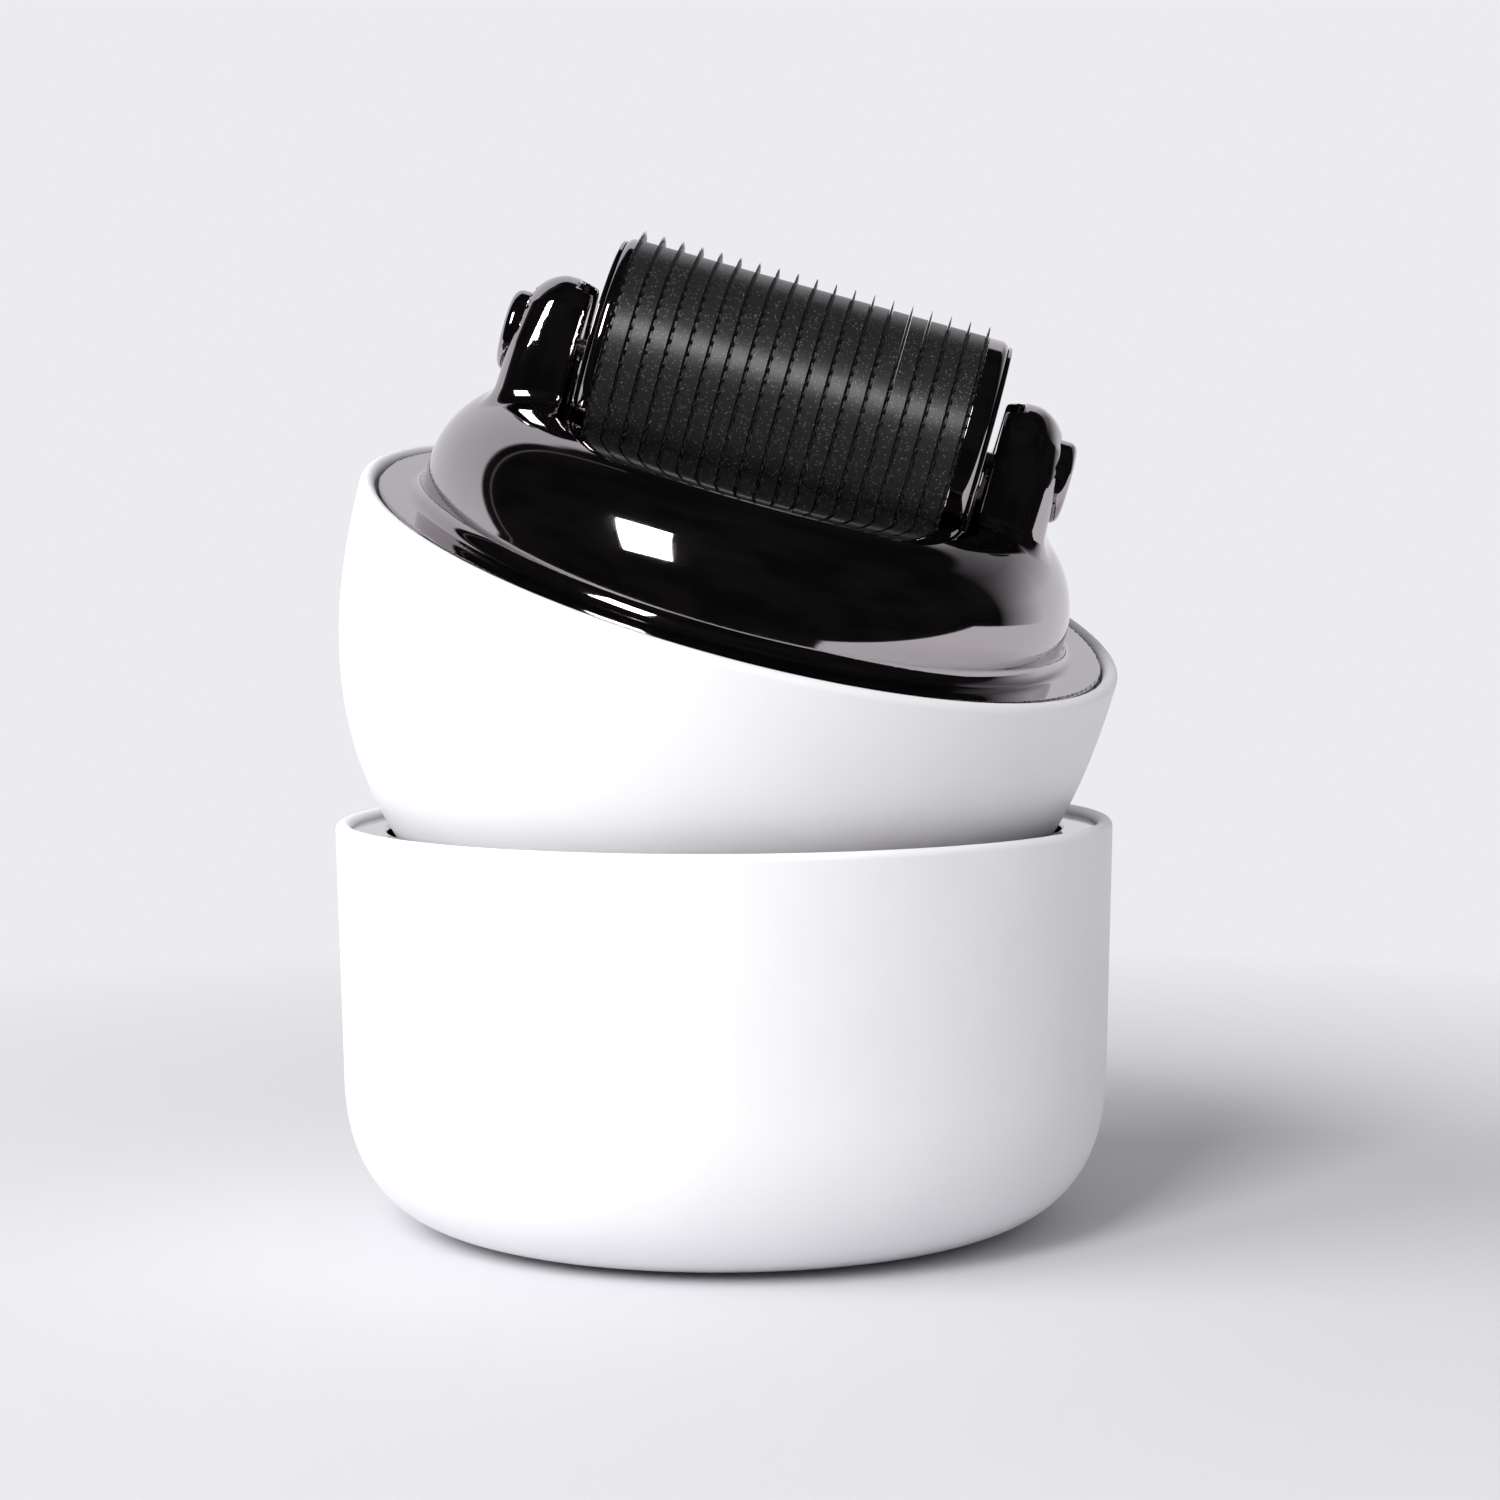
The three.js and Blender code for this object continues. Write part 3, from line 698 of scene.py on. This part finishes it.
def button_spring(name, place):
    """A coil of round wire between the pocket's floor and the cap."""
    start = POCKET_FLOOR + GAP + WIRE_RADIUS
    end = BUTTON_FACE - BUTTON_CAP - GAP - WIRE_RADIUS
    steps, sides = int(COIL_TURNS * COIL_STEPS), WIRE_SIDES
    pitch = (end - start) / steps
    turn = 2 * math.pi * COIL_TURNS / steps
    climb = Vector((0, turn * COIL_RADIUS, pitch)).normalized()
    points, faces = [], []
    for i in range(steps + 1):
        about = Matrix.Rotation(math.pi + turn * i, 3, "Z")
        outward = about @ Vector((1, 0, 0))
        binormal = (about @ climb).cross(outward)
        centre = outward * COIL_RADIUS + Vector((0, 0, start + pitch * i))
        for k in range(sides):
            angle = 2 * math.pi * k / sides
            points.append(centre + (outward * math.cos(angle) + binormal * math.sin(angle)) * WIRE_RADIUS)
    for i in range(steps):
        for k in range(sides):
            n = (k + 1) % sides
            a, b = i * sides, (i + 1) * sides
            faces.append([a + n, a + k, b + k, b + n])
    faces.append(list(range(sides)))
    faces.append([steps * sides + k for k in range(sides)][::-1])
    piece = make_piece(name, np.array([tuple(p) for p in points]), faces, place)
    piece.data.set_sharp_from_angle(angle=WIRE_CREASE)
    return piece


# ---------- everything in its place ----------

def build_object():
    finish_piece(case_shell(), "case_shell", "case", "white_plastic")
    finish_piece(case_liner(), "case_liner", "case", "black_chrome")
    finish_piece(handle_shell(), "handle_shell", "head", "white_plastic")
    finish_piece(head_cover(), "head_cover", "head", "black_chrome")
    for side, place in (("right", AXLE), ("left", LEFT_AXLE)):
        finish_piece(release_button(f"{side}_button_cap", place),
                     f"{side}_release_button", f"{side}_button", "black_chrome")
        finish_piece(button_spring(f"{side}_button_coil", place),
                     f"{side}_button_spring", "head", "spring_steel")
        finish_piece(axle_bush(f"{side}_axle_bearing", place), f"{side}_axle_bush", "head", "bush_plastic")
        shift, end = (STACK_SHIFT, RIGHT_END) if side == "right" else (-STACK_SHIFT, LEFT_END)
        finish_piece(end_cap(f"{side}_drum_cap", place, shift, end),
                     f"{side}_end_cap", "drum", "black_chrome")
    finish_piece(axle_pin(), "axle_pin", "drum", "spring_steel")
    finish_piece(drum_core(), "drum_core", "drum", "drum_plastic")
    first = STACK_SHIFT - (ROWS - 1) * PITCH / 2
    spacers = []
    for i in range(ROWS):
        turn = Matrix.Rotation((i * DISC_STAGGER % 1) * 2 * math.pi / NEEDLES, 4, "Z")
        place = AXLE @ Matrix.Translation((0, 0, first + i * PITCH)) @ turn
        finish_piece(needle_disc(f"needle_ring_{i + 1:02d}", place),
                     f"needle_disc_{i + 1:02d}", "drum", "needle_steel")
    for i in range(ROWS - 1):
        place = AXLE @ Matrix.Translation((0, 0, first + (i + 0.5) * PITCH))
        spacers.append(spacer(f"spacer_ring_{i + 1:02d}", place))
        finish_piece(spacers[-1], f"spacer_{i + 1:02d}", "drum", "drum_plastic")
    return spacers


# ---------- floor, backdrop, light and camera, in metres ----------

BACKDROP = (0.838, 0.838, 0.871)
TABLE_REACH, TABLE_FRONT = 2.4, -0.12
FADE_START, FADE_END = 0.08, 0.22  # distances from the middle between which the table fades out


def add_math(tree, kind, *inputs):
    node = tree.nodes.new("ShaderNodeMath")
    node.operation = kind
    for socket, value in zip(node.inputs, inputs):
        if isinstance(value, (int, float)):
            socket.default_value = value
        else:
            tree.links.new(value, socket)
    return node.outputs[0]


def add_sheet(name, left, right, front, back, height, material):
    mesh = bpy.data.meshes.new(name)
    mesh.from_pydata([(left, front, height), (right, front, height), (right, back, height),
                      (left, back, height)], [], [[0, 1, 2, 3]])
    mesh.materials.append(material)
    sheet = bpy.data.objects.new(name, mesh)
    bpy.context.scene.collection.objects.link(sheet)
    return sheet


def build_floor():
    """A pale table top that fades into a glow of the backdrop's colour. Its front isn't reflected."""
    material, tree, shader, spot = new_material("floor")
    shader.inputs["Base Color"].default_value = (0.69, 0.69, 0.712, 1)
    shader.inputs["Roughness"].default_value = 0.9
    shader.inputs["Specular IOR Level"].default_value = 0.1
    reach = tree.nodes.new("ShaderNodeVectorMath")
    reach.operation = "LENGTH"
    tree.links.new(spot, reach.inputs[0])
    far = add_range(tree, reach.outputs["Value"], 0, 1, FADE_START, FADE_END)
    glow = tree.nodes.new("ShaderNodeEmission")
    glow.inputs["Color"].default_value = (*BACKDROP, 1)
    mix = tree.nodes.new("ShaderNodeMixShader")
    tree.links.new(far, mix.inputs["Fac"])
    tree.links.new(shader.outputs["BSDF"], mix.inputs[1])
    tree.links.new(glow.outputs["Emission"], mix.inputs[2])
    tree.links.new(mix.outputs["Shader"], tree.nodes["Material Output"].inputs["Surface"])
    add_sheet("floor", -TABLE_REACH, TABLE_REACH, TABLE_FRONT, TABLE_REACH, 0, material)
    near = add_sheet("floor_front", -TABLE_REACH, TABLE_REACH, -TABLE_REACH, TABLE_FRONT, 0, material)
    near.visible_glossy = False


def build_painted_dark_reflection():
    """A dark sheet lying on the table in front, a painted dark reflection: it is seen only in reflections,
    where it darkens the chrome's image of the lit table, and casts no shadow.
    """
    material, _, shader, _ = new_material("painted_dark_reflection")
    shader.inputs["Base Color"].default_value = (0.01, 0.01, 0.01, 1)
    shader.inputs["Roughness"].default_value = 0.9
    # painted dark reflection: this sheet shows only in the chrome, as a dark patch where the lit table would
    # be mirrored
    card = add_sheet("painted_dark_reflection", left=-0.3, right=0.015, front=TABLE_FRONT, back=-0.04,
                     height=0.0005, material=material)
    card.visible_camera = False
    card.visible_diffuse = False
    card.visible_shadow = False


def build_world():
    """Pale backdrop for the eye, soft fill for lighting, and a half-dark studio for reflections."""
    world = bpy.data.worlds.new("studio")
    bpy.context.scene.world = world
    world.use_nodes = True
    tree = world.node_tree
    tree.nodes.clear()
    out = tree.nodes.new("ShaderNodeOutputWorld")
    way = tree.nodes.new("ShaderNodeTexCoord")
    split = tree.nodes.new("ShaderNodeSeparateXYZ")
    tree.links.new(way.outputs["Generated"], split.inputs[0])
    x, y, z = split.outputs  # a direction: x to the right, y away from the camera, z up

    # where the bright sweep begins behind the object, on its left side and on its right side
    left_start, left_slope, right_start = 0.05, 0.5, 0.2
    left_fade, extra_right_fade = 0.03, 0.4
    left_limit = add_math(tree, "MULTIPLY_ADD", z, left_slope, left_start)
    to_right = add_math(tree, "GREATER_THAN", x, 0.0)
    side_gap = add_math(tree, "SUBTRACT", right_start, left_limit)
    limit = add_math(tree, "MULTIPLY_ADD", to_right, side_gap, left_limit)
    fade = add_math(tree, "MULTIPLY_ADD", to_right, extra_right_fade, left_fade)
    gap = add_math(tree, "SUBTRACT", y, limit)
    behind = add_math(tree, "DIVIDE", gap, fade)
    behind.node.use_clamp = True

    # the sweep's upper edge, its darker part high on the right, and its slow fall in brightness
    ceiling_height, ceiling_slope, ceiling_fade = 0.823, -0.246, 0.03
    ceiling = add_math(tree, "MULTIPLY_ADD", x, ceiling_slope, ceiling_height)
    under_ceiling = add_math(tree, "SUBTRACT", ceiling, z)
    below = add_range(tree, under_ceiling, 0, 1, start=0.0, end=ceiling_fade)
    sweep = add_math(tree, "MULTIPLY", behind, below)
    far_right = add_range(tree, x, 0, 1, start=0.25, end=0.5)
    darkening = add_range(tree, z, low=0, high=0.7, start=0.2, end=0.5)
    high_right = add_math(tree, "MULTIPLY", far_right, darkening)
    sweep = add_math(tree, "MULTIPLY", sweep, add_math(tree, "SUBTRACT", 1, high_right))
    dim = add_range(tree, z, low=1.0, high=0.72, start=0.0, end=0.8)

    def background(colour, strength):
        node = tree.nodes.new("ShaderNodeBackground")
        node.inputs["Color"].default_value = (*colour, 1)
        if isinstance(strength, float):
            node.inputs["Strength"].default_value = strength
        else:
            tree.links.new(strength, node.inputs["Strength"])
        return node.outputs[0]

    def mix(factor, first, second):
        node = tree.nodes.new("ShaderNodeMixShader")
        tree.links.new(factor, node.inputs["Fac"])
        tree.links.new(first, node.inputs[1])
        tree.links.new(second, node.inputs[2])
        return node.outputs[0]

    rays = tree.nodes.new("ShaderNodeLightPath")
    clutter = tree.nodes.new("ShaderNodeTexNoise")
    clutter.inputs["Scale"].default_value = 2.5
    tree.links.new(way.outputs["Generated"], clutter.inputs["Vector"])
    faint = add_range(tree, clutter.outputs["Fac"], low=0.006, high=0.014, start=0.4, end=0.75)
    edge_offset = 0.09  # a faint line runs beside the sweep's left edge
    edge_distance = add_math(tree, "ABSOLUTE", add_math(tree, "ADD", gap, edge_offset))
    edge_line = add_range(tree, edge_distance, low=0.12, high=0, start=0.006, end=0.014)
    left_side = add_math(tree, "LESS_THAN", x, 0)
    edge_line = add_math(tree, "MULTIPLY", edge_line, left_side)
    faint = add_math(tree, "ADD", faint, edge_line)
    dark_room, fill_light, fill_strength = (0.9, 0.85, 0.85), (0.97, 0.97, 1.0), 0.42
    studio = mix(sweep, background(dark_room, faint), background(BACKDROP, dim))
    fill = background(fill_light, fill_strength)
    seen = mix(rays.outputs["Is Glossy Ray"], fill, studio)
    seen = mix(rays.outputs["Is Camera Ray"], seen, background(BACKDROP, 1.0))
    tree.links.new(seen, out.inputs["Surface"])


def aim(thing, position, target):
    """Places a light so that it shines from position to target."""
    direction = Vector(target) - Vector(position)
    turn = direction.to_track_quat("-Z", "Y").to_matrix().to_4x4()
    thing.matrix_world = Matrix.Translation(position) @ turn


def add_area(name, azimuth, elevation, distance, width, height, power, in_reflections=True):
    """A rectangular light aimed at the object. Azimuth runs in degrees from the front to the right."""
    light = bpy.data.lights.new(name, "AREA")
    light.shape = "RECTANGLE"
    light.size, light.size_y = width, height
    light.energy = power
    lamp = bpy.data.objects.new(name, light)
    bpy.context.scene.collection.objects.link(lamp)
    around, up = math.radians(azimuth), math.radians(elevation)
    target = Vector((0, 0, 0.06))
    offset = Vector((math.sin(around) * math.cos(up), -math.cos(around) * math.cos(up), math.sin(up)))
    aim(lamp, target + offset * distance, target)
    lamp.visible_glossy = in_reflections
    return lamp


def build_lights(spacers):
    """A soft box, a key from the left, and a soft glow that falls on the drum's spacers alone."""
    distance = 1.2
    add_area("softbox", azimuth=-27, elevation=37.5, distance=distance, width=0.36, height=0.62, power=9.0)
    add_area("left_key", azimuth=-70, elevation=28, distance=distance, width=0.8, height=0.8, power=10.0,
             in_reflections=False)
    glow = add_area("drum_glow", azimuth=3, elevation=31, distance=distance, width=0.22, height=0.3,
                    power=2.6)
    lit = bpy.data.collections.new("lit_by_drum_glow")
    for spacer_piece in spacers:
        lit.objects.link(spacer_piece)
    glow.light_linking.receiver_collection = lit


def build_camera():
    """The photo's viewpoint. Pitch is downwards and yaw to the right, in radians."""
    position = (0.00006, -0.33685, 0.07053)
    pitch, yaw, roll = 0.06853, 0.00759, 0.00467
    data = bpy.data.cameras.new("camera")
    data.lens = 80.31
    data.sensor_width = 36.0
    data.clip_start = 0.01
    camera = bpy.data.objects.new("camera", data)
    bpy.context.scene.collection.objects.link(camera)
    ahead = Vector((math.sin(yaw) * math.cos(pitch), math.cos(yaw) * math.cos(pitch), -math.sin(pitch)))
    right = Vector((math.cos(yaw), -math.sin(yaw), 0))
    down = ahead.cross(right)
    image_right = right * math.cos(roll) + down * math.sin(roll)
    image_up = right * math.sin(roll) - down * math.cos(roll)
    matrix = Matrix((image_right, image_up, -ahead)).transposed().to_4x4()
    matrix.translation = position
    camera.matrix_world = matrix
    bpy.context.scene.camera = camera


bpy.context.scene.view_settings.view_transform = "Standard"
build_camera()
build_floor()
build_painted_dark_reflection()
build_world()
build_lights(build_object())
